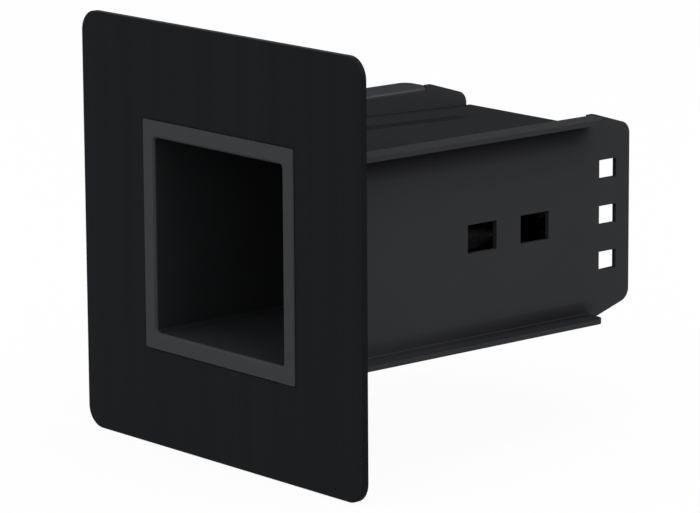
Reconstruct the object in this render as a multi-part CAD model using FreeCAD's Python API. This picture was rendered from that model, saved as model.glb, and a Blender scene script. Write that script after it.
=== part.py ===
import FreeCAD, Part
import math
import os

# In-desk power module: a square front plate, a moulded recess behind it, and a folded steel
# chassis that carries a socket at the bottom of the recess and a mains inlet at the rear.
# Millimetres. The origin is the centre of the plate's back face, +Y runs into the desk.

# Front plate
plate_width = 100.0
plate_height = 100.0
plate_thickness = 1.5
plate_corner_radius = 5.0
plate_edge_break = 0.2
plate_pocket_depth = 0.4
plate_pocket_fit = 0.2

# Recess liner
rim_width = 54.0
rim_height = 54.0
rim_proud = 0.3
rim_gap = 0.2
rim_corner_radius = 0.5
rim_edge_break = 0.2
well_width = 46.0
well_height = 46.0
well_depth = 46.0
well_corner_radius = 1.0
well_mouth_chamfer = 0.5
mouth_depth = 17.0
ceiling_drop = 7.4
liner_wall = 1.4
liner_flange_beyond_web = 9.25
liner_flange_beyond_channel = 4.6
liner_flange_thickness = 1.6
liner_flange_radius = 3.0

# Folded side channels
sheet = 1.2
bend_inside = 0.3
web_span = 58.5
flange_reach = 6.15
channel_height = 48.8
flange_start = 4.6
flange_end = 86.6
flange_tip_radius = 2.5
bend_relief = 0.25
foot_reach = 9.0
foot_inset = 7.4
ear_end = 100.0
ear_taper_start = 88.8
ear_taper_angle = 17.0
ear_corner_radius = 3.2
ear_hole_length = 5.5
ear_hole_height = 4.5
ear_hole_pitch = 11.0
ear_hole_count = 3
ear_hole_to_end = 7.05
clip_hole_length = 9.0
clip_hole_height = 6.8
clip_hole_first = 52.9
clip_hole_pitch = 16.5

# Covers between the channels
cover_drop = 6.05
cover_slope = 1.65
cover_lip = 5.0
top_cover_start = 26.5
bottom_cover_start = 49.0
rib_offset = 13.2
rib_radius = 2.5
rib_depth = 1.4
rib_inset = 8.0
rib_end_inset = 8.0
rib_run_out = 8.0

# Rear panel
panel_face = 85.2
panel_lip = 6.0
panel_drop = 0.4
panel_lip_height = 25.0
panel_fit = 0.15

# Studs and nuts that hold the plate, the liner and the channels together
stud_radius = 1.5
stud_length = 7.0
stud_from_web = 5.05
stud_from_foot_end = 5.0
stud_clearance = 0.2
washer_radius = 3.4
washer_thickness = 0.5
nut_across_flats = 5.5
nut_thickness = 2.4

# Socket at the bottom of the recess
socket_centre = -2.0
face_width = 34.0
face_height = 26.0
face_fit = 0.15
face_flange = 1.6
face_flange_overlap = 1.6
moulding_radius = 1.0
base_length = 12.0
slot_spacing = 12.7
slot_width = 1.9
live_slot_height = 6.9
neutral_slot_height = 8.6
slot_row = 3.5
earth_hole_radius = 2.6
earth_hole_flat = 1.2
earth_row = 8.4
cavity_fit = 0.3
leaf_spring_room = 1.0
boss_from_face = 1.4
boss_radius = 2.8
boss_length = 9.6
lug_thickness = 2.4
lug_height = 6.4
lug_end_radius = 3.1
screw_radius = 1.5
screw_clearance = 0.2
screw_head_radius = 2.75
screw_head_height = 1.6
screw_bite = 5.0
screw_past_nut = 1.0
driver_slot_width = 0.8
driver_slot_depth = 0.7

# Contacts, one folded brass strip each
strip = 0.8
leaf_gap = 1.9
leaf_pinch = 1.1
leaf_height = 5.6
leaf_straight = 3.0
leaf_flare = 2.4
strip_width = 3.0
crank_from_base = 4.0
crank_to_inlet = 1.0
pin_thickness = 2.0
pin_height = 4.0
pin_row_spacing = 14.0
pin_row = 2.0
pin_inset = 1.5

# Mains inlet
inlet_width = 27.2
inlet_height = 19.6
inlet_length = 15.2
inlet_wall = 1.4
inlet_floor = 2.4
inlet_chamfer = 5.0
inlet_fit = 0.2
inlet_flange_width = 50.0
inlet_flange_height = 22.6
inlet_flange_thickness = 2.0
inlet_flange_radius = 4.0
inlet_screw_spacing = 40.0

# Shroud round the live strips, and the earth strap
shroud_width = 25.0
shroud_height = 17.8
shroud_wall = 1.2
strap_width = 6.0
strap_run_height = 9.6
strap_screw_height = 14.2
strap_past_screw = 2.25
strap_foot_start = 61.6
strap_foot_end = 64.4

# Places worked out from the sizes above
web_outer = web_span / 2
web_inner = web_outer - sheet
channel_top = channel_height / 2
bend_outside = bend_inside + sheet
foot_height = channel_height - 2 * foot_inset
liner_flange_width = web_span + 2 * liner_flange_beyond_web
liner_flange_height = channel_height + 2 * liner_flange_beyond_channel
stud_reach = web_outer + stud_from_web
stud_level = foot_height / 2 - stud_from_foot_end
boss_reach = face_width / 2 + boss_from_face + boss_radius
flange_seat = -plate_pocket_depth
foot_face = flange_seat + liner_flange_thickness
foot_back = foot_face + sheet
nut_seat = foot_back + washer_thickness
well_floor = well_depth + liner_wall
face_back = well_floor + face_flange
base_back = face_back + base_length
lug_front = well_floor + boss_length
lug_back = lug_front + lug_thickness
panel_front = panel_face - sheet
inlet_front = panel_face - inlet_length
inlet_back = panel_face + inlet_flange_thickness
ear_start = flange_end + bend_relief
slot_height_centre = socket_centre - slot_row
earth_height_centre = socket_centre + earth_row
pin_height_centre = socket_centre - pin_row
earth_pin_centre = socket_centre + pin_row
cover_rear_height = channel_top - cover_drop
cover_fall = math.tan(math.radians(cover_slope))
panel_top = cover_rear_height + (ear_end - panel_front) * cover_fall - sheet - panel_drop


def vector(x, y, z):
    return FreeCAD.Vector(x, y, z)


def in_xz(y):
    return lambda u, v: vector(u, y, v)


def in_yz(x):
    return lambda u, v: vector(x, u, v)


def in_xy(z):
    return lambda u, v: vector(u, v, z)


def corner_arc(before, corner, after, radius):
    # Start, middle and end of the round that replaces a sharp corner
    back = ((before[0] - corner[0]), (before[1] - corner[1]))
    on = ((after[0] - corner[0]), (after[1] - corner[1]))
    back_length = math.hypot(*back)
    on_length = math.hypot(*on)
    back = (back[0] / back_length, back[1] / back_length)
    on = (on[0] / on_length, on[1] / on_length)
    half = math.acos(max(-1.0, min(1.0, back[0] * on[0] + back[1] * on[1]))) / 2
    reach = radius / math.tan(half)
    start = (corner[0] + back[0] * reach, corner[1] + back[1] * reach)
    end = (corner[0] + on[0] * reach, corner[1] + on[1] * reach)
    middle = ((back[0] + on[0]), (back[1] + on[1]))
    middle_length = math.hypot(*middle)
    dip = radius / math.sin(half) - radius
    top = (corner[0] + middle[0] / middle_length * dip, corner[1] + middle[1] / middle_length * dip)
    return start, top, end


def outline_face(corners, place):
    # A flat face from corners (u, v) or (u, v, radius), with rounds as arcs
    count = len(corners)
    edges = []
    stops = []
    for index, corner in enumerate(corners):
        radius = corner[2] if len(corner) > 2 else 0.0
        if radius > 0:
            stops.append(corner_arc(corners[index - 1], corner, corners[(index + 1) % count], radius))
        else:
            stops.append((corner[:2], None, corner[:2]))
    for index, (start, top, end) in enumerate(stops):
        if top is not None:
            edges.append(Part.Arc(place(*start), place(*top), place(*end)).toShape())
        following = stops[(index + 1) % count][0]
        if math.hypot(following[0] - end[0], following[1] - end[1]) > 1e-6:
            edges.append(Part.LineSegment(place(*end), place(*following)).toShape())
    return Part.Face(Part.Wire(edges))


def rectangle(width, height, centre=(0.0, 0.0), radius=0.0):
    u, v = centre
    return [(u - width / 2, v - height / 2, radius), (u + width / 2, v - height / 2, radius),
            (u + width / 2, v + height / 2, radius), (u - width / 2, v + height / 2, radius)]


def block_along_y(corners, start, end):
    return outline_face(corners, in_xz(start)).extrude(vector(0, end - start, 0))


def block_along_x(corners, start, end):
    return outline_face(corners, in_yz(start)).extrude(vector(end - start, 0, 0))


def block_along_z(corners, start, end):
    return outline_face(corners, in_xy(start)).extrude(vector(0, 0, end - start))


def rod(x, z, radius, start, end):
    return Part.makeCylinder(radius, end - start, vector(x, start, z), vector(0, 1, 0))


def ribbon(points, thickness):
    # Corners of a strip of even thickness that follows a bent centre line
    left = []
    right = []
    for index, (u, v) in enumerate(points):
        before = points[max(index - 1, 0)]
        after = points[min(index + 1, len(points) - 1)]
        first = math.atan2(v - before[1], u - before[0]) if index > 0 else None
        second = math.atan2(after[1] - v, after[0] - u) if index < len(points) - 1 else None
        first = second if first is None else first
        second = first if second is None else second
        turn = (second - first) / 2
        heading = first + turn
        reach = thickness / 2 / math.cos(turn)
        left.append((u - math.sin(heading) * reach, v + math.cos(heading) * reach))
        right.append((u + math.sin(heading) * reach, v - math.cos(heading) * reach))
    return left + right[::-1]


def edges_where(shape, test):
    return [edge for edge in shape.Edges if test(edge)]


def edge_lies(edge, axis, value):
    # Whether the whole edge lies at one place along an axis
    box = edge.BoundBox
    low = getattr(box, axis + "Min")
    high = getattr(box, axis + "Max")
    return abs(low - value) < 1e-4 and abs(high - value) < 1e-4


def mirrored_x(shape):
    return shape.mirror(vector(0, 0, 0), vector(1, 0, 0))


def mirrored_z(shape):
    return shape.mirror(vector(0, 0, 0), vector(0, 0, 1))


def hex_nut(x, z, start, thickness):
    size = nut_across_flats / math.sqrt(3)
    corners = [(x + size * math.cos(math.radians(60 * step)), z + size * math.sin(math.radians(60 * step)))
               for step in range(6)]
    return block_along_y(corners, start, start + thickness).cut(
        rod(x, z, stud_radius, start, start + thickness))


def cover_height(y):
    # Height of a cover's outer face above the middle plane
    return cover_rear_height + (ear_end - y) * cover_fall


def stud_places():
    return [(side * stud_reach, level * stud_level) for side in (-1, 1) for level in (-1, 1)]


def make_front_plate():
    outline = rectangle(plate_width, plate_height, radius=plate_corner_radius)
    plate = block_along_y(outline, -plate_thickness, 0)
    front = edges_where(plate, lambda edge: edge_lies(edge, "Y", -plate_thickness))
    plate = plate.makeChamfer(plate_edge_break, front)
    opening = rectangle(rim_width + 2 * rim_gap, rim_height + 2 * rim_gap, radius=rim_corner_radius + rim_gap)
    pocket = rectangle(liner_flange_width + 2 * plate_pocket_fit, liner_flange_height + 2 * plate_pocket_fit,
                       radius=liner_flange_radius + plate_pocket_fit)
    plate = plate.cut(block_along_y(opening, -plate_thickness, 0))
    return plate.cut(block_along_y(pocket, flange_seat, 0))


def make_plate_studs():
    return [rod(x, z, stud_radius, flange_seat, stud_length) for x, z in stud_places()]


def make_stud_washers():
    return [rod(x, z, washer_radius, foot_back, nut_seat).cut(
        rod(x, z, stud_radius + stud_clearance, foot_back, nut_seat)) for x, z in stud_places()]


def make_stud_nuts():
    return [hex_nut(x, z, nut_seat, nut_thickness) for x, z in stud_places()]


def well_side(wall):
    # Side outline of the recess: straight floor, and a ceiling that drops behind the mouth
    half = well_height / 2 + wall
    slant = wall * math.tan(math.radians(22.5))
    start = -plate_thickness - rim_proud if wall == 0 else 0.0
    back = well_depth + wall
    return [(start, -half), (back, -half), (back, half - ceiling_drop),
            (mouth_depth + ceiling_drop + slant, half - ceiling_drop), (mouth_depth + slant, half),
            (start, half)]


def well_block(wall, radius):
    half = well_width / 2 + wall
    block = block_along_x(well_side(wall), -half, half)
    sides = edges_where(block, lambda edge: (edge_lies(edge, "X", -half) or edge_lies(edge, "X", half))
                        and edge.BoundBox.YLength > 1.0)
    return block.makeFillet(radius, sides)


def make_recess_liner():
    rim_front = -plate_thickness - rim_proud
    rim = block_along_y(rectangle(rim_width, rim_height, radius=rim_corner_radius), rim_front, 0)
    rim = rim.makeChamfer(rim_edge_break, edges_where(rim, lambda edge: edge_lies(edge, "Y", rim_front)))
    flange = rectangle(liner_flange_width, liner_flange_height, radius=liner_flange_radius)
    flange = block_along_y(flange, flange_seat, foot_face)
    liner = rim.fuse(flange).fuse(well_block(liner_wall, well_corner_radius + liner_wall))
    for side in (-1, 1):
        liner = liner.fuse(rod(side * boss_reach, socket_centre, boss_radius, well_depth, lug_front))
    liner = liner.cut(well_block(0.0, well_corner_radius))
    mouth = edges_where(liner, lambda edge: edge_lies(edge, "Y", rim_front)
                        and max(abs(edge.BoundBox.XMin), edge.BoundBox.XMax) < well_width / 2 + 0.01
                        and max(abs(edge.BoundBox.ZMin), edge.BoundBox.ZMax) < well_height / 2 + 0.01)
    liner = liner.makeChamfer(well_mouth_chamfer, mouth)
    window = rectangle(face_width + 2 * face_fit, face_height + 2 * face_fit, (0.0, socket_centre))
    liner = liner.cut(block_along_y(window, well_depth, well_floor))
    for side in (-1, 1):
        liner = liner.cut(rod(side * boss_reach, socket_centre, screw_radius,
                              lug_front - screw_bite, lug_front))
    for x, z in stud_places():
        liner = liner.cut(rod(x, z, stud_radius + stud_clearance, flange_seat, foot_face))
    return liner.removeSplitter()


def channel_section():
    # Outline of the folded sheet across its length: a web with a flange turned out at each end
    outer_edge = web_outer + flange_reach
    under = channel_top - sheet
    return [(web_inner, channel_top, bend_outside), (outer_edge, channel_top), (outer_edge, under),
            (web_outer, under, bend_inside), (web_outer, -under, bend_inside), (outer_edge, -under),
            (outer_edge, -channel_top), (web_inner, -channel_top, bend_outside)]


def ear_outline():
    # The web carried on behind the flanges, at its full height, with its end tapered and rounded
    neck = channel_top - bend_outside
    fall = (ear_end - ear_taper_start) * math.tan(math.radians(ear_taper_angle))
    upper = [(ear_end, channel_top - fall, ear_corner_radius), (ear_taper_start, channel_top),
             (ear_start, channel_top), (ear_start, neck), (flange_end, neck)]
    lower = [(corner[0], -corner[1]) + corner[2:] for corner in reversed(upper)]
    return lower + upper


def channel_holes():
    ear_centre = ear_end - ear_hole_to_end
    holes = []
    for index in range(ear_hole_count):
        level = (index - (ear_hole_count - 1) / 2) * ear_hole_pitch
        holes.append(rectangle(ear_hole_length, ear_hole_height, (ear_centre, level)))
    for place in (clip_hole_first, clip_hole_first + clip_hole_pitch):
        holes.append(rectangle(clip_hole_length, clip_hole_height, (place, 0.0)))
    return [block_along_x(hole, web_inner, web_outer) for hole in holes]


def make_right_channel():
    outer_edge = web_outer + flange_reach
    body = block_along_y(channel_section(), flange_start, flange_end)
    plan = [(web_inner, flange_start), (outer_edge, flange_start, flange_tip_radius),
            (outer_edge, flange_end, flange_tip_radius), (web_inner, flange_end)]
    body = body.common(block_along_z(plan, -channel_top, channel_top))
    ear = block_along_x(ear_outline(), web_inner, web_outer)
    foot_end = web_outer + foot_reach
    foot = [(web_inner, foot_face, bend_outside), (foot_end, foot_face), (foot_end, foot_back),
            (web_outer, foot_back, bend_inside), (web_outer, flange_start), (web_inner, flange_start)]
    foot = block_along_z(foot, -foot_height / 2, foot_height / 2)
    channel = body.fuse(ear).fuse(foot)
    for hole in channel_holes():
        channel = channel.cut(hole)
    for level in (-1, 1):
        channel = channel.cut(rod(stud_reach, level * stud_level, stud_radius + stud_clearance,
                                  foot_face, foot_back))
    return channel.removeSplitter()


def rib_solid(x, radius, start, end):
    # A rod along the cover's slope, to press a rib that runs out of the sheet at both ends
    rise = rib_radius - rib_depth
    tilt = rib_depth / rib_run_out
    route = [(start - rib_run_out, cover_height(start - rib_run_out) + rise + 2 * rib_run_out * tilt),
             (start + rib_run_out, cover_height(start + rib_run_out) + rise),
             (end - rib_run_out, cover_height(end - rib_run_out) + rise),
             (end + rib_run_out, cover_height(end + rib_run_out) + rise + 2 * rib_run_out * tilt)]
    stops = [in_yz(x)(*point) for point in route]
    ring = Part.Wire([Part.makeCircle(radius, stops[0], stops[1].sub(stops[0]))])
    return Part.makePolygon(stops).makePipeShell([ring], True, False, 1)


def make_cover(start):
    # An inverted tray between the webs, lower at the rear, with two pressed stiffening ribs
    half = web_inner
    top = cover_height(start)
    section = [(-half, top, bend_outside), (half, top, bend_outside), (half, top - cover_lip),
               (half - sheet, top - cover_lip), (half - sheet, top - sheet, bend_inside),
               (-half + sheet, top - sheet, bend_inside), (-half + sheet, top - cover_lip),
               (-half, top - cover_lip)]
    run = vector(0, ear_end - start, cover_rear_height - top)
    cover = outline_face(section, in_xz(start)).extrude(run)
    below = rectangle(2 * half, 2 * cover_lip, (0.0, top - cover_lip))
    below = outline_face(below, in_xz(start)).extrude(run)
    for side in (-1, 1):
        ends = (start + rib_inset, ear_end - rib_end_inset)
        ridge = rib_solid(side * rib_offset, rib_radius + sheet, *ends).common(below)
        cover = cover.fuse(ridge).cut(rib_solid(side * rib_offset, rib_radius, *ends))
    return cover.removeSplitter()


def panel_outline():
    wide = web_inner
    narrow = web_inner - sheet - panel_fit
    shoulder = panel_lip_height / 2
    top = panel_top
    corner = bend_inside + panel_fit
    return [(-wide, -shoulder), (-narrow, -shoulder), (-narrow, -top, corner), (narrow, -top, corner),
            (narrow, -shoulder), (wide, -shoulder), (wide, shoulder), (narrow, shoulder),
            (narrow, top, corner), (-narrow, top, corner), (-narrow, shoulder), (-wide, shoulder)]


def inlet_section(wall):
    # The inlet's outline with its two cut corners, taken in by a wall
    width = inlet_width / 2 - wall
    height = inlet_height / 2 - wall
    cut = inlet_chamfer - wall * math.tan(math.radians(22.5))
    low = socket_centre - height
    high = socket_centre + height
    return [(-width, low), (width, low), (width, high - cut), (width - cut, high),
            (-width + cut, high), (-width, high - cut)]


def make_rear_panel():
    panel = block_along_y(panel_outline(), panel_front, panel_face)
    for side in (-1, 1):
        lip = [(side * web_inner, panel_face - panel_lip), (side * web_inner, panel_face, bend_outside),
               (side * (web_inner - 2 * bend_outside), panel_face),
               (side * (web_inner - 2 * bend_outside), panel_front),
               (side * (web_inner - sheet), panel_front, bend_inside),
               (side * (web_inner - sheet), panel_face - panel_lip)]
        lip = block_along_z(lip, -panel_lip_height / 2, panel_lip_height / 2)
        corner = [(side * web_inner, panel_front - sheet), (side * web_inner, panel_face),
                  (side * (web_inner - 2 * bend_outside), panel_face),
                  (side * (web_inner - 2 * bend_outside), panel_front - sheet)]
        panel = panel.cut(block_along_z(corner, -panel_lip_height / 2, panel_lip_height / 2)).fuse(lip)
        for level in (-1, 1):
            notch = rectangle(2 * (rib_radius + sheet), 2 * (rib_depth + panel_fit),
                              (side * rib_offset, level * panel_top))
            panel = panel.cut(block_along_y(notch, panel_front, panel_face))
        panel = panel.cut(rod(side * inlet_screw_spacing / 2, socket_centre, screw_radius + screw_clearance,
                              panel_front, panel_face))
    panel = panel.cut(block_along_y(inlet_section(-inlet_fit), panel_front, panel_face))
    panel = panel.cut(rod(0, strap_screw_height, screw_radius + screw_clearance, panel_front, panel_face))
    return panel.removeSplitter()


def slot_places():
    # Middle, height and side of the two blade slots
    return [(-slot_spacing / 2, neutral_slot_height), (slot_spacing / 2, live_slot_height)]


def make_socket_face():
    boss = rectangle(face_width, face_height, (0.0, socket_centre), moulding_radius)
    face = block_along_y(boss, well_depth, well_floor)
    flange = rectangle(face_width + face_flange_overlap, face_height + 2 * face_flange_overlap,
                       (0.0, socket_centre), moulding_radius)
    face = face.fuse(block_along_y(flange, well_floor, face_back))
    for x, height in slot_places():
        slot = rectangle(slot_width, height, (x, slot_height_centre))
        face = face.cut(block_along_y(slot, well_depth, face_back))
    earth = rod(0, earth_height_centre, earth_hole_radius, well_depth, face_back)
    flat = rectangle(4 * earth_hole_radius, 2 * earth_hole_radius,
                     (0.0, earth_height_centre - earth_hole_flat - earth_hole_radius))
    earth = earth.cut(block_along_y(flat, well_depth, face_back))
    return face.cut(earth).removeSplitter()


def contact_places():
    # Side and height of each contact, and of the pin it ends in
    return {"neutral": (-slot_spacing / 2, slot_height_centre, -pin_row_spacing / 2, pin_height_centre),
            "line": (slot_spacing / 2, slot_height_centre, pin_row_spacing / 2, pin_height_centre),
            "earth": (0.0, earth_height_centre, 0.0, earth_pin_centre)}


def make_socket_base():
    body = rectangle(face_width + face_flange_overlap, face_height + 2 * face_flange_overlap,
                     (0.0, socket_centre), moulding_radius)
    base = block_along_y(body, face_back, base_back)
    lug = rectangle(2 * (boss_reach + boss_radius), lug_height, (0.0, socket_centre), lug_end_radius)
    base = base.fuse(block_along_y(lug, lug_front, lug_back))
    for side in (-1, 1):
        base = base.cut(rod(side * boss_reach, socket_centre, screw_radius + screw_clearance,
                            lug_front, lug_back))
    reach = leaf_gap / 2 + strip + cavity_fit
    for x, z, pin_x, pin_z in contact_places().values():
        pocket = rectangle(2 * reach + leaf_spring_room, leaf_height + 2 * cavity_fit, (x, z))
        base = base.cut(block_along_y(pocket, face_back, base_back - strip - cavity_fit))
        tail = rectangle(strip_width + 2 * cavity_fit, strip + 2 * cavity_fit, ((x + pin_x) / 2, z))
        base = base.cut(block_along_y(tail, face_back, base_back))
    return base.removeSplitter()


def make_contact(name):
    # One folded strip: two sprung leaves, a bridge, a cranked tail and a flat pin
    x, z, pin_x, pin_z = contact_places()[name]
    bridge_back = base_back - strip - cavity_fit
    bridge_front = bridge_back - strip
    mouth = face_back + cavity_fit
    half = leaf_gap / 2 + strip / 2
    pinch = leaf_pinch / 2 + strip / 2
    contact = block_along_y(rectangle(leaf_gap + 2 * strip, leaf_height, (x, z)),
                            bridge_front, bridge_back)
    for side in (-1, 1):
        leaf = ribbon([(x + side * half, bridge_front), (x + side * half, bridge_front - leaf_straight),
                       (x + side * pinch, mouth + leaf_flare), (x + side * half, mouth)], strip)
        contact = contact.fuse(block_along_z(leaf, z - leaf_height / 2, z + leaf_height / 2))
    middle = (x + pin_x) / 2
    crank_start = base_back + crank_from_base
    crank_end = inlet_front - crank_to_inlet
    tail = ribbon([(bridge_back - strip / 2, z), (crank_start, z), (crank_end, pin_z),
                   (inlet_front + inlet_floor, pin_z)], strip)
    contact = contact.fuse(block_along_x(tail, middle - strip_width / 2, middle + strip_width / 2))
    pin = rectangle(pin_thickness, pin_height, (pin_x, pin_z))
    contact = contact.fuse(block_along_y(pin, inlet_front + inlet_floor / 2, inlet_back - pin_inset))
    return contact.removeSplitter()


def pan_screw(x, z, under_head, tip, towards=1):
    # A slotted screw; towards is +1 when the head faces +Y
    head_end = under_head + towards * screw_head_height
    low, high = sorted((under_head, head_end))
    head = rod(x, z, screw_head_radius, low, high)
    slot_low, slot_high = sorted((head_end - towards * driver_slot_depth, head_end))
    slot = rectangle(2 * screw_head_radius, driver_slot_width, (x, z))
    head = head.cut(block_along_y(slot, slot_low, slot_high))
    shank_low, shank_high = sorted((tip, under_head))
    return head.fuse(rod(x, z, screw_radius, shank_low, shank_high)).removeSplitter()


def make_socket_screws():
    return [pan_screw(side * boss_reach, socket_centre, lug_back, lug_front - screw_bite)
            for side in (-1, 1)]


def make_inlet_body():
    body = block_along_y(inlet_section(0.0), inlet_front, panel_face)
    flange = rectangle(inlet_flange_width, inlet_flange_height, (0.0, socket_centre), inlet_flange_radius)
    body = body.fuse(block_along_y(flange, panel_face, inlet_back))
    body = body.cut(block_along_y(inlet_section(inlet_wall), inlet_front + inlet_floor, inlet_back))
    for side in (-1, 1):
        body = body.cut(rod(side * inlet_screw_spacing / 2, socket_centre, screw_radius + screw_clearance,
                            panel_face, inlet_back))
    for x, z, pin_x, pin_z in contact_places().values():
        middle = (x + pin_x) / 2
        tail = rectangle(strip_width, strip, (middle, pin_z))
        body = body.cut(block_along_y(tail, inlet_front, inlet_front + inlet_floor))
        seat = rectangle(pin_thickness, pin_height, (pin_x, pin_z))
        body = body.cut(block_along_y(seat, inlet_front + inlet_floor / 2, inlet_front + inlet_floor))
    return body.removeSplitter()


def inlet_screw_places():
    return [(side * inlet_screw_spacing / 2, socket_centre) for side in (-1, 1)]


def make_inlet_screws():
    tip = panel_front - nut_thickness - screw_past_nut
    return [pan_screw(x, z, inlet_back, tip) for x, z in inlet_screw_places()]


def make_inlet_nuts():
    return [hex_nut(x, z, panel_front - nut_thickness, nut_thickness) for x, z in inlet_screw_places()]


def make_terminal_shroud():
    centre = (0.0, socket_centre)
    outline = rectangle(shroud_width, shroud_height, centre, moulding_radius)
    shroud = block_along_y(outline, base_back, inlet_front)
    inside = rectangle(shroud_width - 2 * shroud_wall, shroud_height - 2 * shroud_wall, centre)
    shroud = shroud.cut(block_along_y(inside, base_back, inlet_front))
    notch_width = strap_width + 2 * cavity_fit
    top = socket_centre + shroud_height / 2
    notch = rectangle(notch_width, 4 * shroud_wall, (0.0, top))
    return shroud.cut(block_along_y(notch, base_back, inlet_front)).removeSplitter()


def make_earth_strap():
    # From the top of the earth strip, over the inlet, and up the front of the rear panel
    foot = earth_height_centre + strip
    back = panel_front - strip / 2
    head = strap_screw_height + strap_past_screw
    route = ribbon([(strap_foot_start, foot), (strap_foot_end, foot),
                    (strap_foot_end + strap_run_height - foot, strap_run_height),
                    (back, strap_run_height), (back, head)], strip)
    strap = block_along_x(route, -strap_width / 2, strap_width / 2)
    return strap.cut(rod(0, strap_screw_height, screw_radius + screw_clearance,
                         back - strip, back + strip)).removeSplitter()


def make_earth_screw():
    tip = panel_front - strip - nut_thickness - screw_past_nut
    return [pan_screw(0, strap_screw_height, panel_face, tip)]


def make_earth_nut():
    return [hex_nut(0, strap_screw_height, panel_front - strip - nut_thickness, nut_thickness)]


def save(name, solids):
    shape = solids if not isinstance(solids, list) else Part.makeCompound(solids)
    if not shape.isValid():
        raise ValueError(name + " is not a valid solid")
    shape.exportStep("parts/" + name + ".step")
    print(name, len(shape.Solids), round(shape.Volume, 1))


os.makedirs("parts", exist_ok=True)
right_channel = make_right_channel()
pieces = {
    "front_plate": make_front_plate(),
    "plate_studs": make_plate_studs(),
    "stud_washers": make_stud_washers(),
    "stud_nuts": make_stud_nuts(),
    "recess_liner": make_recess_liner(),
    "right_channel": right_channel,
    "left_channel": mirrored_x(right_channel),
    "top_cover": make_cover(top_cover_start),
    "bottom_cover": mirrored_z(make_cover(bottom_cover_start)),
    "rear_panel": make_rear_panel(),
    "socket_face": make_socket_face(),
    "socket_base": make_socket_base(),
    "line_contact": make_contact("line"),
    "neutral_contact": make_contact("neutral"),
    "earth_contact": make_contact("earth"),
    "socket_screws": make_socket_screws(),
    "terminal_shroud": make_terminal_shroud(),
    "inlet_body": make_inlet_body(),
    "inlet_screws": make_inlet_screws(),
    "inlet_nuts": make_inlet_nuts(),
    "earth_strap": make_earth_strap(),
    "earth_screw": make_earth_screw(),
    "earth_nut": make_earth_nut(),
}
for name, solids in pieces.items():
    save(name, solids)
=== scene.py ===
import math
import bpy
from mathutils import Matrix, Vector

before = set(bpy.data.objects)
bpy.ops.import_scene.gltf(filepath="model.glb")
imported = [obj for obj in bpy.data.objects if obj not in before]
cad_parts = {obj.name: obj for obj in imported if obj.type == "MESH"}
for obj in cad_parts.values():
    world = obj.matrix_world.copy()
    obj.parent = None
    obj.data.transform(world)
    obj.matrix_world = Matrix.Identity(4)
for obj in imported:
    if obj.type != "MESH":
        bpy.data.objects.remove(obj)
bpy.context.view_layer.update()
print("frame loaded")

photoCamera = {
    "azimuth": 49.423,  # degrees, 0 looks along +Y
    "pitch": 11.92,  # degrees down
    "roll": -0.358,
    "aim": (0.04595, -0.0015, 0.005798),
    "distance": 0.900673,
    "lens": 212.157,
    "sensor": 36.0,
    "nearest": 0.05,
    "farthest": 50.0,
}

studio = {
    "floorHeight": -0.0502,
    "floorSize": 6.0,
    "background": (1.0, 1.0, 1.0, 1.0),
    "floorColour": (0.30, 0.30, 0.30, 1.0),  # as it lights the object
    "floorSeen": (0.92, 0.92, 0.92, 1.0),  # as it is seen
    "shadowShare": 0.05,  # how much of the floor's shadow shows
    "skyLight": 0.92,  # overhead
    "horizonLight": 0.75,
    "groundLight": 0.02,  # from below
    "skyBand": (0.0, 0.7),  # height of the direction, from the horizon's light to the sky's
    "groundBand": (-0.15, 0.02),
}

softboxes = {
    "topSoftbox": {
        "size": 1.0, "power": 6.0, "place": (0.5, 0.05, 1.52), "aim": (0.0, 0.05, 0.0), "diffuse": True},
    "sideSoftbox": {
        "size": 1.0, "power": 4.0, "place": (1.55, 0.1, 1.05), "aim": (0.0, 0.05, 0.0), "diffuse": True},
    "frontSoftbox": {
        "size": 1.0, "power": 7.0, "place": (0.1, -1.7, 0.7), "aim": (0.0, 0.0, 0.0), "diffuse": True},
    # Draws the bright line on the folded bends and lights nothing else
    "rearSoftbox": {
        "size": 0.25, "power": 8.0, "place": (0.85, 1.0, 0.81), "aim": (0.0, 0.05, 0.0), "diffuse": False},
}

plainRange = (0.0, 1.0)
noiseMiddle = 0.5
noiseBand = (0.3, 0.7)  # where most of a noise lies
mixPins = {"factor": 0, "first": 6, "second": 7, "result": 2}  # the colour sockets of a Mix node
surfaceOutputs = {"Colour": "NodeSocketColor", "Roughness": "NodeSocketFloat", "Height": "NodeSocketFloat"}
colourOutput = {"Colour": "NodeSocketColor"}


def nodeLine(tree, kind, place, **values):
    node = tree.nodes.new(kind)
    node.location = place
    for name, value in values.items():
        if name in node.inputs:
            node.inputs[name].default_value = value
        else:
            setattr(node, name, value)
    return node


def joinSockets(tree, source, target):
    # The source is another node's socket or a plain value
    if isinstance(source, bpy.types.NodeSocket):
        tree.links.new(source, target)
    else:
        target.default_value = source


def mathNode(tree, place, operation, *terms, **values):
    node = nodeLine(tree, "ShaderNodeMath", place, operation=operation, **values)
    for index, term in enumerate(terms):
        joinSockets(tree, term, node.inputs[index])
    return node.outputs[0]


def vectorNode(tree, place, operation, first, second=None):
    node = nodeLine(tree, "ShaderNodeVectorMath", place, operation=operation)
    joinSockets(tree, first, node.inputs[0])
    if second is not None:
        joinSockets(tree, second, node.inputs[1])
    return node


def scaleColour(tree, place, colour, factor):
    node = vectorNode(tree, place, "SCALE", colour)
    joinSockets(tree, factor, node.inputs["Scale"])
    return node.outputs[0]


def rangeNode(tree, place, source, band, outcome=plainRange, **values):
    node = nodeLine(tree, "ShaderNodeMapRange", place, **values)
    joinSockets(tree, source, node.inputs["Value"])
    for name, value in zip(("From Min", "From Max", "To Min", "To Max"), (*band, *outcome)):
        joinSockets(tree, value, node.inputs[name])
    return node.outputs["Result"]


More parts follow.
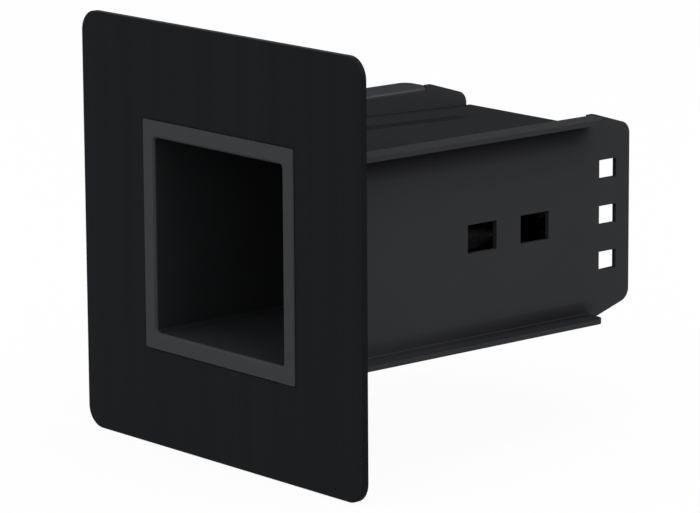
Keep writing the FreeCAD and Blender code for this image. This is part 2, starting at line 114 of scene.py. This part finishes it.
def mixColours(tree, place, factor, first, second):
    node = nodeLine(tree, "ShaderNodeMix", place, data_type="RGBA")
    joinSockets(tree, factor, node.inputs[mixPins["factor"]])
    joinSockets(tree, first, node.inputs[mixPins["first"]])
    joinSockets(tree, second, node.inputs[mixPins["second"]])
    return node.outputs[mixPins["result"]]


def splitVector(tree, place, source):
    node = nodeLine(tree, "ShaderNodeSeparateXYZ", place)
    joinSockets(tree, source, node.inputs[0])
    return node.outputs


def noisePattern(tree, place, source, **values):
    node = nodeLine(tree, "ShaderNodeTexNoise", place, **values)
    joinSockets(tree, source, node.inputs["Vector"])
    return node


def newGroup(name, inputs, outputs):
    # An input's kind follows from its value: a number, a vector of three or a colour of four
    group = bpy.data.node_groups.new(name, "ShaderNodeTree")
    kindOf = {1: "NodeSocketFloat", 3: "NodeSocketVector", 4: "NodeSocketColor"}
    for label, value in inputs.items():
        kind = kindOf[1 if isinstance(value, float) else len(value)]
        group.interface.new_socket(label, in_out="INPUT", socket_type=kind).default_value = value
    for label, kind in outputs.items():
        group.interface.new_socket(label, in_out="OUTPUT", socket_type=kind)
    start = nodeLine(group, "NodeGroupInput", (-900, 0))
    end = nodeLine(group, "NodeGroupOutput", (700, 0))
    return group, start.outputs, end.inputs


def endSurface(group, start, end, swing, amount, pattern, height):
    # The colour swings by an amount, and the roughness follows a pattern
    share = mathNode(group, (-100, 100), "MULTIPLY_ADD", swing, amount, 1.0)
    joinSockets(group, scaleColour(group, (100, 100), start["Base"], share), end["Colour"])
    rough = rangeNode(group, (100, -150), pattern, noiseBand, (start["Rough Low"], start["Rough High"]))
    joinSockets(group, rough, end["Roughness"])
    joinSockets(group, height, end["Height"])


powderInputs = {
    "Base": (0.02, 0.02, 0.02, 1.0),
    "Mottle": 0.15,
    "Grain Scale": 1800.0,
    "Rough Low": 0.45,
    "Rough High": 0.6,
}


# Fine stipple and mottle of a powder coat
def makePowderGroup():
    group, start, end = newGroup("powderCoat", powderInputs, surfaceOutputs)
    place = nodeLine(group, "ShaderNodeTexCoord", (-900, 300)).outputs["Object"]
    fine = noisePattern(group, (-600, 300), place, Detail=3.0, Roughness=0.6)
    joinSockets(group, start["Grain Scale"], fine.inputs["Scale"])
    broad = noisePattern(group, (-600, 0), place, Scale=60.0, Detail=4.0, Roughness=0.55).outputs["Fac"]
    swing = mathNode(group, (-350, 0), "SUBTRACT", broad, noiseMiddle)
    endSurface(group, start, end, swing, start["Mottle"], broad, fine.outputs["Fac"])
    return group


grainInputs = {
    "Base": (0.02, 0.02, 0.02, 1.0),
    "Depth": 0.2,
    "Streaks": (900.0, 900.0, 14.0),
    "Rough Low": 0.4,
    "Rough High": 0.55,
}


# Streaks that run along one axis, as on a brushed and lacquered sheet
def makeGrainGroup():
    group, start, end = newGroup("sheetGrain", grainInputs, surfaceOutputs)
    place = nodeLine(group, "ShaderNodeTexCoord", (-1100, 300)).outputs["Object"]
    stretched = vectorNode(group, (-850, 300), "MULTIPLY", place, start["Streaks"]).outputs[0]
    streak = noisePattern(group, (-600, 300), stretched, Scale=1.0, Detail=3.0, Roughness=0.55).outputs["Fac"]
    wide = noisePattern(group, (-600, 0), stretched, Scale=0.16, Detail=2.0, Roughness=0.5).outputs["Fac"]
    both = mathNode(group, (-400, 150), "ADD", streak, wide)
    swing = mathNode(group, (-250, 150), "SUBTRACT", both, 2 * noiseMiddle)
    endSurface(group, start, end, swing, start["Depth"], streak, streak)
    return group


edgeInputs = {
    "Colour": (0.02, 0.02, 0.02, 1.0),
    "Worn": (0.1, 0.1, 0.1, 1.0),
    "Amount": 0.5,
}
edgeShape = {
    "radius": 0.0005,
    "samples": 6,
    "turned": (0.98, 0.75),  # cosine between the plain and the rounded normal
    "patchScale": 240.0,
    "patchBand": (0.35, 0.65),
}


# Lighter rubbed edges, from the difference of two bevelled normals
def makeEdgeGroup():
    group, start, end = newGroup("edgeWear", edgeInputs, colourOutput)
    plain = nodeLine(group, "ShaderNodeNewGeometry", (-900, 300)).outputs["Normal"]
    rounded = nodeLine(group, "ShaderNodeBevel", (-900, 100), samples=edgeShape["samples"])
    rounded.inputs["Radius"].default_value = edgeShape["radius"]
    turn = vectorNode(group, (-650, 200), "DOT_PRODUCT", plain, rounded.outputs["Normal"])
    edge = rangeNode(group, (-450, 200), turn.outputs["Value"], edgeShape["turned"])
    place = nodeLine(group, "ShaderNodeTexCoord", (-900, -150)).outputs["Object"]
    patch = noisePattern(group, (-650, -150), place, Scale=edgeShape["patchScale"], Detail=4.0, Roughness=0.6)
    broken = rangeNode(group, (-450, -150), patch.outputs["Fac"], edgeShape["patchBand"])
    mask = mathNode(group, (-200, 50), "MULTIPLY", edge, broken)
    amount = mathNode(group, (0, 50), "MULTIPLY", mask, start["Amount"], use_clamp=True)
    joinSockets(group, mixColours(group, (250, 150), amount, start["Colour"], start["Worn"]), end["Colour"])
    return group


depthShadeInputs = {
    "Front": (0.05, 0.05, 0.05, 1.0),
    "Shaded Inner": (0.02, 0.02, 0.02, 1.0),
    "Shaded Outer": (0.01, 0.01, 0.01, 1.0),
    "Begin": -0.0016,
    "End": -0.0008,
    "Half Width": 0.0238,
    "Flange Back": 0.002,
}


# Painted shade: a darker second colour behind a plane across Y, down the well, and a darker third behind the
# flange on the outer sides, where the body shades the liner
def makeDepthShadeGroup():
    group, start, end = newGroup("paintedDepthShade", depthShadeInputs, colourOutput)
    coords = nodeLine(group, "ShaderNodeTexCoord", (-900, 300))
    place = splitVector(group, (-650, 300), coords.outputs["Object"])
    depth = rangeNode(group, (-400, 200), place["Y"], (start["Begin"], start["End"]))
    side = mathNode(group, (-400, -100), "ABSOLUTE", place["X"])
    beyond = mathNode(group, (-200, -100), "GREATER_THAN", side, start["Half Width"])
    deeper = mathNode(group, (-200, -300), "GREATER_THAN", place["Y"], start["Flange Back"])
    both = mathNode(group, (-50, -200), "MULTIPLY", beyond, deeper)
    behind = mixColours(group, (100, -100), both, start["Shaded Inner"], start["Shaded Outer"])
    joinSockets(group, mixColours(group, (250, 100), depth, start["Front"], behind), end["Colour"])
    return group


sideShadeInputs = {
    "Face": (0.02, 0.02, 0.02, 1.0),
    "Shaded Cut": (0.005, 0.005, 0.005, 1.0),
}
sideShadeBand = (0.9, 0.6)  # how far the normal points along Y, from face to cut edge


# Painted shade: a darker second colour on the cut edges of a flat plate across Y, so that its lit side faces
# stay dark
def makeSideShadeGroup():
    group, start, end = newGroup("paintedSideShade", sideShadeInputs, colourOutput)
    coords = nodeLine(group, "ShaderNodeTexCoord", (-900, 300))
    normal = splitVector(group, (-650, 300), coords.outputs["Normal"])
    facing = mathNode(group, (-450, 300), "ABSOLUTE", normal["Y"])
    edge = rangeNode(group, (-250, 200), facing, sideShadeBand)
    joinSockets(group, mixColours(group, (0, 100), edge, start["Face"], start["Shaded Cut"]), end["Colour"])
    return group


occlusionShadeInputs = {
    "Colour": (0.02, 0.02, 0.02, 1.0),
    "Reach": 0.005,
    "Darkest": 0.35,
    "Lean": (0.0, 0.0, 0.0),
    "Closed": 0.4,
    "Open": 0.97,
    "Roughness": 0.5,
    "Matter": 0.3,
}
occlusionSamples = 8
mattBand = (0.85, 0.6)  # openness over which the coat turns matt


# Painted shade: darker corners, grooves and undersides from an occlusion test, where the coat also turns
# matter
def makeOcclusionShadeGroup():
    group, start, end = newGroup("paintedOcclusionShade", occlusionShadeInputs,
                                 {"Colour": "NodeSocketColor", "Roughness": "NodeSocketFloat"})
    plain = nodeLine(group, "ShaderNodeNewGeometry", (-1300, 200)).outputs["Normal"]
    # The normal leans up, so the occlusion paints the shadow that overhangs cast below them
    leaning = vectorNode(group, (-1100, 200), "ADD", plain, start["Lean"]).outputs[0]
    unit = vectorNode(group, (-900, 200), "NORMALIZE", leaning).outputs[0]
    occlusion = nodeLine(group, "ShaderNodeAmbientOcclusion", (-700, 200), samples=occlusionSamples)
    joinSockets(group, start["Reach"], occlusion.inputs["Distance"])
    joinSockets(group, unit, occlusion.inputs["Normal"])
    openness = occlusion.outputs["AO"]
    # The colour is scaled down by the occlusion: painted shade
    share = rangeNode(group, (-400, 200), openness, (start["Closed"], start["Open"]), (start["Darkest"], 1.0))
    joinSockets(group, scaleColour(group, (0, 100), start["Colour"], share), end["Colour"])
    lost = rangeNode(group, (-400, -150), openness, mattBand)
    matt = mathNode(group, (150, -150), "MULTIPLY_ADD", lost, start["Matter"], start["Roughness"],
                    use_clamp=True)
    joinSockets(group, matt, end["Roughness"])
    return group


foldShadeInputs = {
    "Colour": (0.02, 0.02, 0.02, 1.0),
    "Reach": 0.006,
    "Level": -0.02,  # only below this height
    "Begin": 0.0,
    "End": 0.085,
    "Front Shade": 0.1,
    "Rear Shade": 0.5,
    "Top Share": 0.6,  # how much of the shade lies on the flange's upper face
}
cornerBand = (0.96, 0.7)  # openness from no shade to full shade
upperBand = (0.5, 0.95)  # how far the normal points up, from none to the whole share


# Painted shade in the inner corner along the lower fold and on the flange's upper face there, stronger
# towards the rear
def makeFoldShadeGroup():
    group, start, end = newGroup("paintedFoldShade", foldShadeInputs, colourOutput)
    coords = nodeLine(group, "ShaderNodeTexCoord", (-1100, 0))
    place = splitVector(group, (-900, 0), coords.outputs["Object"])
    facing = splitVector(group, (-900, -300), coords.outputs["Normal"])
    low = mathNode(group, (-650, -100), "LESS_THAN", place["Z"], start["Level"])
    along = rangeNode(group, (-650, 100), place["Y"], (start["Begin"], start["End"]),
                      (start["Front Shade"], start["Rear Shade"]), interpolation_type="SMOOTHSTEP")
    occlusion = nodeLine(group, "ShaderNodeAmbientOcclusion", (-650, 400), samples=occlusionSamples)
    joinSockets(group, start["Reach"], occlusion.inputs["Distance"])
    corner = rangeNode(group, (-400, 300), occlusion.outputs["AO"], cornerBand)
    upper = rangeNode(group, (-650, -300), facing["Z"], upperBand, (0.0, start["Top Share"]))
    darker = mathNode(group, (-300, 200), "MAXIMUM", corner, upper)
    shaded = mathNode(group, (-200, 200), "MULTIPLY", darker, along)
    lost = mathNode(group, (0, 100), "MULTIPLY", shaded, low)
    kept = mathNode(group, (200, 100), "SUBTRACT", 1.0, lost)
    joinSockets(group, scaleColour(group, (400, 100), start["Colour"], kept), end["Colour"])
    return group


powderGroup = makePowderGroup()
grainGroup = makeGrainGroup()
depthShadeGroup = makeDepthShadeGroup()
sideShadeGroup = makeSideShadeGroup()
layerGroups = {"wear": makeEdgeGroup(), "cavity": makeOcclusionShadeGroup(), "fold": makeFoldShadeGroup()}
print("shader groups made")


def placeGroup(tree, group, place, values):
    node = nodeLine(tree, "ShaderNodeGroup", place, node_tree=group)
    for name, value in values.items():
        node.inputs[name].default_value = value
    return node


def surfaceMaterial(name, group, settings):
    # One Principled shader fed by a surface group and by the layers that the settings name; the tint and the
    # occlusion and fold layers paint shade into the colour
    material = bpy.data.materials.new(name)
    material.use_nodes = True
    tree = material.node_tree
    shader = tree.nodes["Principled BSDF"]
    for label, value in settings["shader"].items():
        shader.inputs[label].default_value = value
    surface = placeGroup(tree, group, (-700, 100), settings["surface"])
    # The tint group paints shade into the base colour: the plate's side faces and the liner's well
    if "shadeTint" in settings:
        shadeTint = placeGroup(tree, settings["shadeTintGroup"], (-950, 100), settings["shadeTint"])
        joinSockets(tree, shadeTint.outputs["Colour"], surface.inputs["Base"])
    colour = surface.outputs["Colour"]
    roughness = surface.outputs["Roughness"]
    for step, (label, layerGroup) in enumerate(layerGroups.items()):
        if label not in settings:
            continue
        layer = placeGroup(tree, layerGroup, (-450 + 150 * step, 300), settings[label])
        joinSockets(tree, colour, layer.inputs["Colour"])
        colour = layer.outputs["Colour"]
        if "Roughness" in layer.inputs:
            joinSockets(tree, roughness, layer.inputs["Roughness"])
            roughness = layer.outputs["Roughness"]
    joinSockets(tree, colour, shader.inputs["Base Color"])
    joinSockets(tree, roughness, shader.inputs["Roughness"])
    bump = nodeLine(tree, "ShaderNodeBump", (-300, -250), **settings["bump"])
    joinSockets(tree, surface.outputs["Height"], bump.inputs["Height"])
    joinSockets(tree, bump.outputs["Normal"], shader.inputs["Normal"])
    return material


plateFinish = {
    "shader": {"Specular IOR Level": 0.02},
    "shadeTintGroup": sideShadeGroup,
    # The cut colour is painted shade on the plate's side faces
    "shadeTint": {"Face": (0.0113, 0.0128, 0.0147, 1), "Shaded Cut": (0.0108, 0.0114, 0.0130, 1)},
    "surface": {"Depth": 0.4, "Streaks": (1500.0, 1500.0, 16.0), "Rough Low": 0.42, "Rough High": 0.56},
    "bump": {"Strength": 0.12, "Distance": 0.00003},
}
channelFinish = {
    "shader": {"Metallic": 0.12, "Specular IOR Level": 0.0, "Specular Tint": (0.0, 0.0, 0.0, 1.0)},
    "surface": {"Base": (0.0455, 0.0467, 0.0500, 1), "Mottle": 0.14, "Grain Scale": 2600.0,
                "Rough Low": 0.28, "Rough High": 0.35},
    "wear": {"Worn": (0.08, 0.081, 0.085, 1), "Amount": 0.4},
    # Painted shade, leant up so that it darkens the web under the upper flange
    "cavity": {"Reach": 0.008, "Darkest": 0.4, "Lean": (0.0, 0.0, 0.9), "Closed": 0.18, "Open": 0.68,
               "Matter": 0.6},
    # Painted shade along the lower fold
    "fold": {"Reach": 0.005},
    "bump": {"Strength": 0.12, "Distance": 0.00004},
}
# Painted shade: the covers and rear panel take a darker copy of the sheet colour, which stands in for the
# shade in the top cover's trough
shadedCoverFinish = {
    "shader": {"Specular IOR Level": 0.0},
    "surface": {"Base": (0.0232, 0.0238, 0.0252, 1), "Mottle": 0.14, "Grain Scale": 2600.0,
                "Rough Low": 0.6, "Rough High": 0.72},
    # Painted shade in the cover's grooves and along the webs
    "cavity": {"Reach": 0.004, "Darkest": 0.05},
    "bump": {"Strength": 0.12, "Distance": 0.00004},
}
linerFinish = {
    "shader": {"Specular IOR Level": 0.05},
    "shadeTintGroup": depthShadeGroup,
    # Front is the rim's own colour; the inner and outer colours are painted shade in the well and on the
    # liner's hidden outer sides
    "shadeTint": {"Front": (0.0500, 0.0522, 0.0550, 1), "Shaded Inner": (0.0238, 0.0250, 0.0270, 1),
             "Shaded Outer": (0.0110, 0.0113, 0.0118, 1)},
    "surface": {"Mottle": 0.12, "Grain Scale": 3200.0, "Rough Low": 0.5, "Rough High": 0.6},
    # Painted shade in the liner's corners
    "cavity": {"Reach": 0.0025, "Darkest": 0.6},
    "bump": {"Strength": 0.15, "Distance": 0.00004},
}
socketFinish = {
    "shader": {"Specular IOR Level": 0.35},
    "surface": {"Base": (0.010, 0.010, 0.0105, 1), "Mottle": 0.1, "Grain Scale": 3000.0,
                "Rough Low": 0.38, "Rough High": 0.48},
    "bump": {"Strength": 0.1, "Distance": 0.00003},
}
brassFinish = {
    "shader": {"Metallic": 1.0, "Specular IOR Level": 0.5},
    "surface": {"Base": (0.62, 0.43, 0.17, 1), "Depth": 0.2, "Streaks": (1200.0, 40.0, 1200.0),
                "Rough Low": 0.26, "Rough High": 0.4},
    "bump": {"Strength": 0.15, "Distance": 0.00002},
}
zincFinish = {
    "shader": {"Metallic": 1.0, "Specular IOR Level": 0.5},
    "surface": {"Base": (0.52, 0.52, 0.54, 1), "Mottle": 0.25, "Grain Scale": 1500.0,
                "Rough Low": 0.25, "Rough High": 0.42},
    "bump": {"Strength": 0.1, "Distance": 0.00002},
}
blackSteelFinish = {
    "shader": {"Metallic": 0.6, "Specular IOR Level": 0.4},
    "surface": {"Base": (0.012, 0.012, 0.013, 1), "Mottle": 0.25, "Grain Scale": 1500.0,
                "Rough Low": 0.4, "Rough High": 0.55},
    "bump": {"Strength": 0.1, "Distance": 0.00002},
}

blackPlate = surfaceMaterial("blackPlate", grainGroup, plateFinish)
blackSheet = surfaceMaterial("blackSheet", powderGroup, channelFinish)
# A darker copy of the sheet: painted shade
shadedCover = surfaceMaterial("shadedCover", powderGroup, shadedCoverFinish)
linerPlastic = surfaceMaterial("linerPlastic", powderGroup, linerFinish)
socketPlastic = surfaceMaterial("socketPlastic", powderGroup, socketFinish)
rolledBrass = surfaceMaterial("rolledBrass", grainGroup, brassFinish)
zincSteel = surfaceMaterial("zincSteel", powderGroup, zincFinish)
blackSteel = surfaceMaterial("blackSteel", powderGroup, blackSteelFinish)

finishOf = {
    "front_plate": blackPlate,
    "recess_liner": linerPlastic,
    "right_channel": blackSheet, "left_channel": blackSheet,
    "top_cover": shadedCover, "bottom_cover": shadedCover, "rear_panel": shadedCover,
    "socket_face": socketPlastic, "socket_base": socketPlastic,
    "terminal_shroud": socketPlastic, "inlet_body": socketPlastic,
    "line_contact": rolledBrass, "neutral_contact": rolledBrass, "earth_contact": rolledBrass,
    "earth_strap": rolledBrass, "earth_screw": rolledBrass, "earth_nut": rolledBrass,
    "plate_studs": zincSteel, "stud_washers": zincSteel, "stud_nuts": zincSteel,
    "socket_screws": blackSteel, "inlet_screws": blackSteel, "inlet_nuts": zincSteel,
}

for nodeName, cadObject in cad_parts.items():
    material = finishOf[nodeName]
    if not cadObject.material_slots:
        cadObject.data.materials.append(material)
    for slot in cadObject.material_slots:
        slot.material = material
print("finishes assigned")


def seenDirectly(tree, place):
    # 1 for rays from the camera, a mirror or glass, 0 for the rays that carry light
    rays = nodeLine(tree, "ShaderNodeLightPath", place).outputs
    seen = mathNode(tree, (place[0] + 180, place[1]), "MAXIMUM", rays["Is Camera Ray"], rays["Is Glossy Ray"])
    return mathNode(tree, (place[0] + 360, place[1]), "MAXIMUM", seen, rays["Is Transmission Ray"])


def mixShaders(tree, place, factor, first, second, end):
    node = nodeLine(tree, "ShaderNodeMixShader", place)
    joinSockets(tree, factor, node.inputs["Fac"])
    joinSockets(tree, first.outputs[0], node.inputs[1])
    joinSockets(tree, second.outputs[0], node.inputs[2])
    joinSockets(tree, node.outputs[0], end.inputs["Surface"])


def makeFloor():
    mesh = bpy.data.meshes.new("studioFloor")
    half = studio["floorSize"] / 2
    level = studio["floorHeight"]
    corners = [(-half, -half, level), (half, -half, level), (half, half, level), (-half, half, level)]
    mesh.from_pydata(corners, [], [(0, 1, 2, 3)])
    floor = bpy.data.objects.new("studioFloor", mesh)
    bpy.context.scene.collection.objects.link(floor)
    material = bpy.data.materials.new("paleFloor")
    material.use_nodes = True
    tree = material.node_tree
    tree.nodes.clear()
    end = nodeLine(tree, "ShaderNodeOutputMaterial", (600, 0))
    seen = seenDirectly(tree, (-700, 250))
    plain = nodeLine(tree, "ShaderNodeBsdfDiffuse", (0, 100))
    paint = mixColours(tree, (-250, 100), seen, studio["floorColour"], studio["floorSeen"])
    joinSockets(tree, paint, plain.inputs["Color"])
    glow = nodeLine(tree, "ShaderNodeEmission", (0, -100), Color=studio["background"], Strength=1.0)
    share = mathNode(tree, (0, 250), "MULTIPLY", seen, 1.0 - studio["shadowShare"])
    mixShaders(tree, (300, 0), share, plain, glow, end)
    mesh.materials.append(material)


def makeRoom():
    # A dome that is bright overhead and dim below, white where the camera sees it
    world = bpy.data.worlds.new("studioRoom")
    bpy.context.scene.world = world
    world.use_nodes = True
    tree = world.node_tree
    tree.nodes.clear()
    end = nodeLine(tree, "ShaderNodeOutputWorld", (700, 0))
    coords = nodeLine(tree, "ShaderNodeTexCoord", (-900, 0))
    height = splitVector(tree, (-700, 0), coords.outputs["Generated"])["Z"]
    upper = rangeNode(tree, (-450, 150), height, studio["skyBand"],
                      (studio["horizonLight"], studio["skyLight"]), interpolation_type="SMOOTHSTEP")
    lower = rangeNode(tree, (-450, -150), height, studio["groundBand"],
                      (studio["groundLight"], 1.0), interpolation_type="SMOOTHSTEP")
    room = nodeLine(tree, "ShaderNodeBackground", (100, 100))
    joinSockets(tree, mathNode(tree, (-200, 0), "MULTIPLY", upper, lower), room.inputs["Strength"])
    white = nodeLine(tree, "ShaderNodeBackground", (100, -100), Color=studio["background"], Strength=1.0)
    mixShaders(tree, (400, 0), seenDirectly(tree, (-300, 350)), room, white, end)


def makeSoftbox(name, settings):
    lamp = bpy.data.lights.new(name, "AREA")
    lamp.shape = "SQUARE"
    lamp.size = settings["size"]
    lamp.energy = settings["power"]
    thing = bpy.data.objects.new(name, lamp)
    bpy.context.scene.collection.objects.link(thing)
    thing.visible_diffuse = settings["diffuse"]
    place = Vector(settings["place"])
    thing.location = place
    thing.rotation_euler = (Vector(settings["aim"]) - place).to_track_quat("-Z", "Y").to_euler()


def makeCamera():
    azimuth = math.radians(photoCamera["azimuth"])
    pitch = math.radians(photoCamera["pitch"])
    roll = math.radians(photoCamera["roll"])
    ahead = Vector((-math.sin(azimuth) * math.cos(pitch), math.cos(azimuth) * math.cos(pitch),
                    -math.sin(pitch)))
    level = Vector((math.cos(azimuth), math.sin(azimuth), 0.0))
    upright = level.cross(ahead)
    across = level * math.cos(roll) + upright * math.sin(roll)
    above = upright * math.cos(roll) - level * math.sin(roll)
    place = Vector(photoCamera["aim"]) - ahead * photoCamera["distance"]
    lens = bpy.data.cameras.new("photoCamera")
    lens.lens = photoCamera["lens"]
    lens.sensor_width = photoCamera["sensor"]
    lens.sensor_fit = "HORIZONTAL"
    lens.clip_start = photoCamera["nearest"]
    lens.clip_end = photoCamera["farthest"]
    camera = bpy.data.objects.new("photoCamera", lens)
    bpy.context.scene.collection.objects.link(camera)
    turn = Matrix((across, above, -ahead)).transposed()
    camera.matrix_world = Matrix.Translation(place) @ turn.to_4x4()
    bpy.context.scene.camera = camera


makeFloor()
makeRoom()
for boxName, boxSettings in softboxes.items():
    makeSoftbox(boxName, boxSettings)
makeCamera()
bpy.context.scene.view_settings.view_transform = "Standard"
print("studio made")
